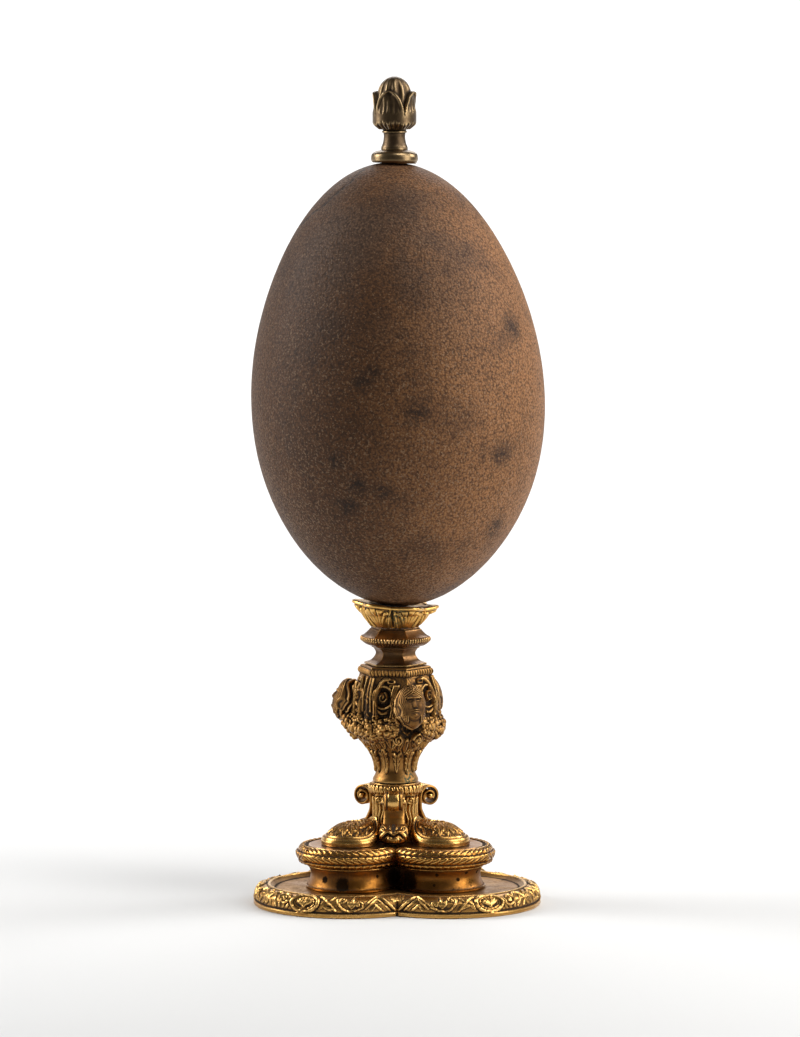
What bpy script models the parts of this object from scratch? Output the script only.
"""Emu egg on a gilt bronze stand, with a bronze bud finial on top.

Lengths are in metres and +Z is up. The origin is under the stem's axis, on the flat
underside of the foot, and -Y is the front. The castings are stacked along the axis,
and each keeps a small gap to the one that it stands on.
"""

import math

import bmesh
import bpy

MM = 0.001
DEG = math.pi / 180
GAP = 0.3 * MM

# Heights where one piece ends and the next begins
FOOT_DECK = 4.9 * MM
DRUM_TOP = 18.0 * MM
STEM_TOP = 32.7 * MM
COLLAR_TOP = 36.2 * MM
VASE_TOP = 72.0 * MM
NECK_TOP = 83.6 * MM
EGG_BOTTOM = 89.75 * MM
FINIAL_COLLAR_TOP = 228.4 * MM
TOTAL_HEIGHT = 250.7 * MM

# The base has three lobes, one behind and two in front. The castings above it are
# screwed together a little off square, and each is laid out in sixths of a turn.
LOBE_ANGLES = (-30 * DEG, 90 * DEG, 210 * DEG)
SIXTHS = [60 * DEG * k for k in range(6)]
BRACKET_TURN = -3 * DEG
VASE_TURN = -12 * DEG
NECK_TURN = -8.5 * DEG
CUP_TURN = -5.5 * DEG
BRACKET_ANGLES = (-90 * DEG, 30 * DEG, 150 * DEG)
MASK_ANGLES = (-60 * DEG, 60 * DEG, 180 * DEG)
SWAG_ANGLES = (-120 * DEG, 0 * DEG, 120 * DEG)

# Trefoil outlines: how far out a lobe's centre is, and the lobe's radius
FOOT_REACH, FOOT_LOBE, FOOT_X = 17.5 * MM, 28.5 * MM, 0.5 * MM
DRUM_REACH, DRUM_LOBE = 15.7 * MM, 16.5 * MM
CUSP_SOFTNESS = 24 * MM * MM

# Bosses on the drum, the central stem and its scroll brackets
DOME_REACH, DOME_RADIUS, DOME_RISE, DOME_RIM = 16.0 * MM, 8.8 * MM, 6.3 * MM, 1.3 * MM
STEM_RADIUS, STEM_LEAF = 6.1 * MM, 1.3 * MM
BRACKET_HALF, HEAD_EXTRA = 2.8 * MM, 1.9 * MM
BRACKET_BACK = 6.45 * MM
BRACKET_WAIST = ((9.0 * MM, 24.6 * MM), (8.0 * MM, 26.2 * MM))
ROLL_CENTRE, ROLL_RADIUS = (10.35 * MM, 31.3 * MM), 3.4 * MM
HEAD_CENTRE, HEAD_RADIUS = (11.5 * MM, 21.2 * MM), 2.6 * MM
COLLAR_RADIUS = 8.3 * MM

# The vase's garlands, bosses, scrolls and leaves, and its masks
GARLAND_HEIGHT, GARLAND_HALF = 52.4 * MM, 5.3 * MM
GARLAND_RELIEF = 3.0 * MM
BOSS_HEIGHT, BOSS_RELIEF = 62.0 * MM, 1.2 * MM
SCROLL_HEIGHT, SCROLL_RELIEF = 50.6 * MM, 1.9 * MM
LEAF_HEIGHT, LEAF_RELIEF = 43.0 * MM, 0.5 * MM
MASK_BOTTOM, MASK_TOP = 54.9 * MM, 68.2 * MM
MASK_HALF = 15 * DEG

# The egg: half its length, its girth, and how its outline departs from an ellipse
EGG_HALF_LENGTH = 67.7 * MM
EGG_RADIUS = 44.85 * MM
EGG_TAPER = (-0.088, -0.061, 0.057)
EGG_OFFSET = 1.2 * MM
EGG_LEAN, EGG_LEAN_POWER = -2.3 * MM, 2.2

# The leaf cup that the egg sits in
CUP_TIP_RADIUS, CUP_VALLEY_RADIUS = 13.4 * MM, 11.4 * MM
CUP_RIM, CUP_RIM_THICKNESS = 90.6 * MM, 1.3 * MM
CUP_SLOPE = -0.065

FINIAL_X = -0.3 * MM
SEPAL_ANGLE = -17 * DEG


def surface(name, colour, roughness, metallic):
    """A plain Principled material."""
    material = bpy.data.materials.new(name)
    material.use_nodes = True
    shader = material.node_tree.nodes["Principled BSDF"]
    shader.inputs["Base Color"].default_value = (*colour, 1.0)
    shader.inputs["Roughness"].default_value = roughness
    shader.inputs["Metallic"].default_value = metallic
    return material


def mesh_from(name, bm, material, smooth_angle=40 * DEG):
    """Turns a bmesh into a mesh that faces outwards and is shaded smooth."""
    bmesh.ops.recalc_face_normals(bm, faces=bm.faces[:])
    mesh = bpy.data.meshes.new(name)
    bm.to_mesh(mesh)
    bm.free()
    mesh.shade_smooth()
    mesh.set_sharp_from_angle(angle=smooth_angle)
    mesh.materials.append(material)
    return mesh


def place(name, mesh, turn=0.0, x=0.0):
    """Links a mesh under a name, turned about the vertical axis and moved along X."""
    obj = bpy.data.objects.new(name, mesh)
    bpy.context.scene.collection.objects.link(obj)
    obj.rotation_euler.z = turn
    obj.location.x = x


def loft(rings):
    """A closed skin over rings of points, from bottom to top. A ring of one point ends in a fan."""
    bm = bmesh.new()
    loops = [[bm.verts.new(point) for point in ring] for ring in rings]
    for low, high in zip(loops, loops[1:]):
        for i in range(max(len(low), len(high))):
            corners = [
                low[i % len(low)],
                low[(i + 1) % len(low)],
                high[(i + 1) % len(high)],
                high[i % len(high)],
            ]
            bm.faces.new(dict.fromkeys(corners))
    for end in (loops[0], loops[-1]):
        if len(end) > 2:
            bm.faces.new(end)
    return bm


def ring(radius_at, height_at, count, centre=(0.0, 0.0)):
    """One turn of points. The radius is a number or a function of the angle, the height
    a number or a function of x and y."""
    points = []
    for i in range(count):
        angle = 2 * math.pi * i / count
        radius = radius_at(angle) if callable(radius_at) else radius_at
        x = centre[0] + radius * math.cos(angle)
        y = centre[1] + radius * math.sin(angle)
        height = height_at(x, y) if callable(height_at) else height_at
        points.append((x, y, height))
    return points


def arc(centre, radius, start, end, steps):
    """Points along an arc, with its angles in degrees."""
    angles = [(start + (end - start) * i / steps) * DEG for i in range(steps + 1)]
    return [(centre[0] + radius * math.cos(a), centre[1] + radius * math.sin(a)) for a in angles]


def between(knots, height):
    """The radius at a height, on straight lines between (radius, height) knots."""
    for (low_r, low_z), (high_r, high_z) in zip(knots, knots[1:]):
        if height <= high_z:
            share = max(0.0, (height - low_z) / (high_z - low_z))
            return low_r + (high_r - low_r) * share
    return knots[-1][0]


def off_nearest(angle, angles):
    """The signed angle from the nearest of the given directions."""
    offsets = [(angle - a + math.pi) % (2 * math.pi) - math.pi for a in angles]
    return min(offsets, key=abs)


def bump(distance, width):
    """A smooth bump, 1 in the middle and 0 from that distance outwards."""
    share = min(1.0, abs(distance) / width)
    return (1 - share * share) ** 2


def trefoil(reach, lobe):
    """A function of the angle: how far out a three-lobed outline is."""

    def radius_at(angle):
        off = off_nearest(angle, LOBE_ANGLES)
        square = lobe * lobe - (reach * math.sin(off)) ** 2
        softened = (square + math.hypot(square, CUSP_SOFTNESS)) / 2
        return reach * math.cos(off) + math.sqrt(softened)

    return radius_at


def hexagon(corner_radius, roundness=0.0):
    """A function of the angle: a hexagon with a corner at 0, blended towards a circle."""

    def radius_at(angle):
        off = (angle % (60 * DEG)) - 30 * DEG
        flat = corner_radius * math.cos(30 * DEG) / math.cos(off)
        return flat + (corner_radius - flat) * roundness

    return radius_at


def egg_radius(share):
    """The egg's radius where share is -1 at its bottom and 1 at its top."""
    first, second, third = EGG_TAPER
    girth = EGG_RADIUS * math.sqrt(max(0.0, 1 - share * share))
    return girth * (1 + share * (first + share * (second + share * third)))


def egg_centre(share):
    """How far the egg's middle line is from the stand's axis at that height."""
    return EGG_OFFSET + EGG_LEAN * ((share + 1) / 2) ** EGG_LEAN_POWER


def egg_height(x, y, side):
    """The height of the egg's surface at a point: side is 1 for its top and -1 for its bottom."""
    inside, outside = side * 0.5, side * 1.0
    for _ in range(40):
        middle = (inside + outside) / 2
        if egg_radius(middle) > math.hypot(x - egg_centre(middle), y):
            inside = middle
        else:
            outside = middle
    return EGG_BOTTOM + EGG_HALF_LENGTH * (1 + inside)


def make_foot(material):
    """The trefoil foot: a thin upright edge, a cushion-shaped rim, a bead and a flat deck."""
    rim = [(0.15, 2.4), (0.5, 3.8), (1.4, 5.1), (2.9, 6.0), (5.0, 6.3)]
    profile = [(0.5, 0.0), (0.0, 0.4), (0.0, 1.5), *rim, (6.0, 5.9)]
    rings = [
        ring(trefoil(FOOT_REACH, FOOT_LOBE - inset * MM), height * MM, 60)
        for inset, height in profile
    ]
    rings.append(ring(trefoil(FOOT_REACH, FOOT_LOBE - 6.6 * MM), FOOT_DECK, 60))
    place("foot", mesh_from("foot", loft(rings), material), 0.0, FOOT_X)


def make_drum(material):
    """The drum on the foot: a hollow moulding under a round one, with a flat top."""
    bottom = FOOT_DECK + GAP
    hollow = [(3.1, 0.8), (4.0, 2.8), (3.9, 5.0), (2.5, 7.0)]
    bulge = 2.5
    round_moulding = arc((-bulge, 10.1), bulge, -65, 85, 5)
    profile = [(2.6, 0.0), *hollow, *((-out, height) for out, height in round_moulding)]
    rings = [
        ring(trefoil(DRUM_REACH, DRUM_LOBE - inset * MM), bottom + height * MM, 60)
        for inset, height in profile
    ]
    rings.append(ring(trefoil(DRUM_REACH, DRUM_LOBE - 3.2 * MM), DRUM_TOP, 60))
    place("drum", mesh_from("drum", loft(rings), material))


def make_domes(material):
    """Three low bosses on the drum's lobes. Each sweeps up to the stem and stops short of it."""
    bottom = DRUM_TOP + GAP
    clear = STEM_RADIUS + STEM_LEAF + GAP

    def edge(angle):
        across = DOME_REACH * math.cos(angle)
        inside = across * across - DOME_REACH**2 + clear**2
        if across >= 0 or inside <= 0:
            return DOME_RADIUS
        return min(DOME_RADIUS, -across - math.sqrt(inside))

    def height(x, y):
        ahead = x - DOME_REACH
        if ahead < 0:
            ahead *= 0.35
        share = min(1.0, math.hypot(ahead, y) / DOME_RADIUS)
        sweep = 1.5 * MM * math.exp((clear - math.hypot(x, y)) / (1.4 * MM))
        return bottom + DOME_RIM + (DOME_RISE - DOME_RIM) * (1 - share**1.8) + sweep

    rings = [
        ring(lambda a, s=share: s * edge(a), height, 20, (DOME_REACH, 0.0))
        for share in (1.0, 1.0, 0.8, 0.5)
    ]
    rings[0] = [(x, y, bottom) for x, y, _ in rings[0]]
    rings.append([(DOME_REACH, 0.0, height(DOME_REACH, 0.0))])
    mesh = mesh_from("dome", loft(rings), material)
    for number, angle in enumerate(LOBE_ANGLES, 1):
        place(f"dome_{number}", mesh, angle)


def make_stem(material):
    """The core: round behind the brackets, with a bunch of leaves standing out between them."""
    bottom = DRUM_TOP + GAP

    def leafy(leaf):
        def radius_at(angle):
            between_brackets = 60 * DEG - abs(off_nearest(angle, BRACKET_ANGLES))
            return STEM_RADIUS + leaf * bump(between_brackets, 31 * DEG)

        return radius_at

    rings = [
        ring(leafy(leaf * STEM_LEAF), bottom + share * (STEM_TOP - bottom), 36)
        for leaf, share in [(1.0, 0.0), (1.0, 0.5), (0.8, 0.75), (1.0, 1.0)]
    ]
    place("stem", mesh_from("stem", loft(rings), material), BRACKET_TURN)


def make_brackets(material):
    """Three scroll brackets: a roll at the top, a waisted strap, and a beast's head at the bottom."""
    foot_height = HEAD_CENTRE[1] - HEAD_RADIUS - 0.1 * MM
    shoulder = COLLAR_RADIUS + GAP + 0.1 * MM
    head = arc(HEAD_CENTRE, HEAD_RADIUS, -90, 90, 8)
    roll = arc(ROLL_CENTRE, ROLL_RADIUS, -120, 120, 13)
    outline = [(BRACKET_BACK, foot_height), *head, *BRACKET_WAIST, *roll]
    outline += [(shoulder, STEM_TOP - GAP), (BRACKET_BACK, STEM_TOP - GAP)]
    bm = bmesh.new()
    bm.faces.new([bm.verts.new((u, -1, z)) for u, z in outline])
    for cut in (HEAD_CENTRE[1], *(z for _, z in BRACKET_WAIST)):
        pieces = [*bm.verts, *bm.edges, *bm.faces]
        bmesh.ops.bisect_plane(bm, geom=pieces, plane_co=(0, 0, cut), plane_no=(0, 0, 1))
    grown = bmesh.ops.extrude_face_region(bm, geom=bm.faces[:])["geom"]
    moved = [v for v in grown if isinstance(v, bmesh.types.BMVert)]
    bmesh.ops.translate(bm, verts=moved, vec=(0, 2, 0))
    for v in bm.verts:
        from_head = v.co.z - HEAD_CENTRE[1]
        v.co.y *= BRACKET_HALF + HEAD_EXTRA * bump(from_head, 3.4 * MM)
    mesh = mesh_from("bracket", bm, material)
    for number, angle in enumerate(BRACKET_ANGLES, 1):
        place(f"bracket_{number}", mesh, BRACKET_TURN + angle)


def make_collar(material):
    """The round collar that the vase stands on."""
    bottom = STEM_TOP + GAP
    bulge = 1.5 * MM
    belly = arc((COLLAR_RADIUS - bulge, bottom + bulge), bulge, -90, 90, 4)
    rings = [ring(radius, height, 24) for radius, height in belly]
    rings.append(ring(COLLAR_RADIUS - bulge, COLLAR_TOP, 24))
    place("collar", mesh_from("collar", loft(rings), material))


def vase_body(angle, height):
    """The vase's radius before its relief: a round foot and belly under a six-sided shoulder."""
    knots = [(6.9, 36.5), (6.7, 37.9), (5.8, 39.1), (5.7, 41.6), (6.4, 44.0), (7.5, 46.0)]
    knots += [(9.6, 48.8), (11.4, 51.5), (12.6, 55.0), (13.2, 59.0), (13.1, 62.5), (12.4, 65.5)]
    knots += [(11.0, 68.3)]
    radius = between(knots, height / MM) * MM
    six_sided = min(1.0, max(0.0, (height / MM - 46.0) / 14.0))
    return hexagon(radius, 1 - 0.75 * six_sided)(angle)


def vase_relief(angle, height):
    """How far the cast relief stands out: garlands of fruit, bosses, small scrolls and leaves."""
    swag = off_nearest(angle, SWAG_ANGLES)
    spread = min(1.0, abs(swag) / (46 * DEG))
    lumps = 1 + 0.16 * math.cos(swag * 24) * math.cos(2 * math.pi * height / (3.2 * MM))
    fruit = GARLAND_RELIEF * (1 + 0.5 * spread**2) * lumps
    fruit *= bump(height - GARLAND_HEIGHT, GARLAND_HALF)
    fruit *= bump(max(0.0, abs(swag) - 42 * DEG), 10 * DEG)
    boss = off_nearest(angle, [sixth + 30 * DEG for sixth in SIXTHS])
    bosses = BOSS_RELIEF * bump(height - BOSS_HEIGHT, 3.4 * MM) * bump(boss, 15 * DEG)
    scroll = abs(off_nearest(angle, MASK_ANGLES)) - 12.4 * DEG
    scrolls = SCROLL_RELIEF * bump(height - SCROLL_HEIGHT, 2.7 * MM) * bump(scroll, 11 * DEG)
    leaf = off_nearest(angle, SIXTHS)
    leaves = LEAF_RELIEF * bump(height - LEAF_HEIGHT, 4.5 * MM) * bump(leaf, 17 * DEG)
    return max(fruit, scrolls) + bosses + leaves


def make_vase(material):
    """The vase: its relief is cast with it, and a six-sided moulding closes the top."""
    heights = [36.5, 37.9, 39.0, 41.0, 43.0, 45.0, 46.9, 48.6, 50.0, 51.4, 52.7]
    heights += [54.0, 55.3, 56.8, 58.6, 60.4, 62.0, 63.8, 66.0, 68.3]

    def body(height):
        return lambda a: vase_body(a, height) + vase_relief(a, height)

    rings = [ring(body(height * MM), height * MM, 42) for height in heights]
    moulding = [(11.5, 69.0), (11.2, 70.2), (10.5, 71.2)]
    rings += [ring(hexagon(radius * MM), height * MM, 42) for radius, height in moulding]
    rings.append(ring(hexagon(9.7 * MM), VASE_TOP, 42))
    place("vase", mesh_from("vase", loft(rings), material, 50 * DEG), VASE_TURN)


def make_masks(material):
    """Three cast masks on alternate corners of the vase, each with its back fitted to the vase."""
    columns = [MASK_HALF * (i / 4 - 1) for i in range(9)]
    levels = [MASK_BOTTOM + (MASK_TOP - MASK_BOTTOM) * j / 7 for j in range(8)]
    reach = [(17.4, 54.9), (19.4, 56.4), (20.1, 58.6), (19.9, 60.6), (19.0, 63.0)]
    reach += [(17.2, 65.6), (15.2, 67.2), (12.9, 68.2)]

    def back_at(angle, height):
        around = angle + MASK_ANGLES[1]
        return vase_body(around, height) + vase_relief(around, height) + GAP + 0.1 * MM

    def front_at(angle, height):
        back = back_at(angle, height)
        across = angle / MASK_HALF
        roundness = math.sqrt(max(0.0, 1 - across * across))
        edge = 1.0 * MM + 0.6 * MM * bump(height - 64 * MM, 5 * MM)
        nose = 0.7 * MM * bump(across, 0.3) * bump(height - 60.4 * MM, 2.6 * MM)
        eye = abs(across) - 0.42
        eyes = 0.7 * MM * bump(eye, 0.3) * bump(height - 62.8 * MM, 1.9 * MM)
        rise = max(0.0, between(reach, height / MM) * MM - back - edge) * roundness
        return back + edge + max(0.0, rise + nose - 0.7 * MM - eyes)

    def sheet(radius_at):
        grid = []
        for level in levels:
            row = []
            for column in columns:
                radius = radius_at(column, level)
                point = (radius * math.cos(column), radius * math.sin(column), level)
                row.append(bm.verts.new(point))
            grid.append(row)
        for low, high in zip(grid, grid[1:]):
            for i in range(len(columns) - 1):
                bm.faces.new((low[i], low[i + 1], high[i + 1], high[i]))
        right_side = [row[-1] for row in grid[1:-1]]
        left_side = [row[0] for row in grid[-2:0:-1]]
        return grid[0] + right_side + grid[-1][::-1] + left_side

    bm = bmesh.new()
    back = sheet(back_at)
    front = sheet(front_at)
    for i in range(len(back)):
        j = (i + 1) % len(back)
        bm.faces.new((back[i], back[j], front[j], front[i]))
    mesh = mesh_from("mask", bm, material, 60 * DEG)
    for number, angle in enumerate(MASK_ANGLES, 1):
        place(f"mask_{number}", mesh, VASE_TURN + angle)


def make_neck(material):
    """The six-sided neck: a deep hollow below a sharp-edged knop."""
    hollow = [(9.6, 72.3), (7.3, 73.5), (6.2, 74.7), (6.1, 76.1), (7.2, 77.4)]
    knop = [(10.4, 79.1), (11.1, 80.2), (10.8, 81.2), (8.3, 82.9)]
    rings = [
        ring(hexagon(radius * MM), height * MM, 24) for radius, height in [*hollow, *knop]
    ]
    rings.append(ring(hexagon(6.9 * MM), NECK_TOP, 24))
    place("neck", mesh_from("neck", loft(rings), material, 25 * DEG), NECK_TURN)


def make_cup(material):
    """The leaf cup: six pointed petals that spread under the egg, dished to take it."""
    bottom = NECK_TOP + GAP
    bowl = [(6.8, 0.0), (7.5, 0.8), (9.0, 2.4), (10.1, 4.1)]
    shrink = 0.93

    def petals(valley, tip):
        return lambda a: valley + (tip - valley) * abs(math.cos(3 * a)) ** 1.6

    def rim(lift):
        return lambda x, y: CUP_RIM + lift + CUP_SLOPE * x

    def dish(x, y):
        egg_x = x * math.cos(CUP_TURN) - y * math.sin(CUP_TURN)
        egg_y = x * math.sin(CUP_TURN) + y * math.cos(CUP_TURN)
        under_egg = egg_height(egg_x, egg_y, -1) - GAP - 0.1 * MM
        return min(under_egg, rim(CUP_RIM_THICKNESS / 2)(x, y))

    lip = petals(CUP_VALLEY_RADIUS, CUP_TIP_RADIUS)
    under_lip = petals(CUP_VALLEY_RADIUS * shrink, CUP_TIP_RADIUS * shrink)
    rings = [ring(radius * MM, bottom + height * MM, 36) for radius, height in bowl]
    rings.append(ring(under_lip, rim(-CUP_RIM_THICKNESS / 2), 36))
    rings.append(ring(lip, rim(-CUP_RIM_THICKNESS / 3), 36))
    rings.append(ring(lip, dish, 36))
    rings.append(ring(7.0 * MM, dish, 36))
    rings.append([(0.0, 0.0, dish(0.0, 0.0))])
    place("cup", mesh_from("cup", loft(rings), material, 30 * DEG), CUP_TURN)


def make_egg(material):
    """The egg, more pointed at the top, with its middle line leaning a little."""
    bands = 18

    def level(share):
        height = EGG_BOTTOM + EGG_HALF_LENGTH * (1 + share)
        return ring(egg_radius(share), height, 30, (egg_centre(share), 0.0))

    rings = [[(egg_centre(-1), 0.0, EGG_BOTTOM)]]
    rings += [level(-math.cos(math.pi * i / bands)) for i in range(1, bands)]
    rings.append([(egg_centre(1), 0.0, EGG_BOTTOM + 2 * EGG_HALF_LENGTH)])
    place("egg", mesh_from("egg", loft(rings), material))


def make_finial_collar(material):
    """The bun-shaped collar on the egg, with its underside fitted to the shell."""

    def on_shell(x, y):
        return egg_height(x + FINIAL_X, y, 1) + GAP

    side = [(7.1, 225.4), (7.0, 226.5), (6.2, 227.7)]
    rings = [[(0.0, 0.0, on_shell(0.0, 0.0))]]
    rings += [ring(radius * MM, on_shell, 24) for radius in (3.4, 6.6)]
    rings += [ring(radius * MM, height * MM, 24) for radius, height in side]
    rings.append(ring(4.9 * MM, FINIAL_COLLAR_TOP, 24))
    place("finial_collar", mesh_from("finial_collar", loft(rings), material), 0.0, FINIAL_X)


def make_finial_bud(material):
    """The bud: a waisted stalk, four sepals that turn out at their tips, and a fluted cone."""
    bottom = FINIAL_COLLAR_TOP + GAP
    stalk = [(4.1, 0.0), (4.1, 0.9), (3.6, 2.4), (3.45, 4.4), (3.8, 5.8)]
    wrap = [(5.3, 7.0), (6.3, 8.2), (6.6, 10.0), (6.5, 13.5), (6.5, 15.6), (6.2, 16.6)]
    cone = [(5.0, 17.3), (4.6, 18.8), (3.8, 20.2), (2.1, 21.4)]

    def sepals(radius):
        return lambda a: radius * (1 + 0.05 * math.cos(4 * (a - SEPAL_ANGLE)))

    rings = [ring(radius * MM, bottom + height * MM, 20) for radius, height in stalk]
    rings += [ring(sepals(radius * MM), bottom + height * MM, 20) for radius, height in wrap]
    rings += [ring(radius * MM, bottom + height * MM, 20) for radius, height in cone]
    rings.append([(0.0, 0.0, TOTAL_HEIGHT)])
    place("finial_bud", mesh_from("finial_bud", loft(rings), material), 0.0, FINIAL_X)


def main():
    for obj in list(bpy.data.objects):
        bpy.data.objects.remove(obj)
    gilt = surface("gilt bronze", (0.45, 0.27, 0.09), 0.34, 1.0)
    dark = surface("dark bronze", (0.22, 0.16, 0.09), 0.42, 1.0)
    shell = surface("eggshell", (0.13, 0.082, 0.052), 0.55, 0.0)
    make_foot(gilt)
    make_drum(gilt)
    make_domes(gilt)
    make_stem(gilt)
    make_brackets(gilt)
    make_collar(gilt)
    make_vase(gilt)
    make_masks(gilt)
    make_neck(gilt)
    make_cup(gilt)
    make_egg(shell)
    make_finial_collar(dark)
    make_finial_bud(dark)


main()
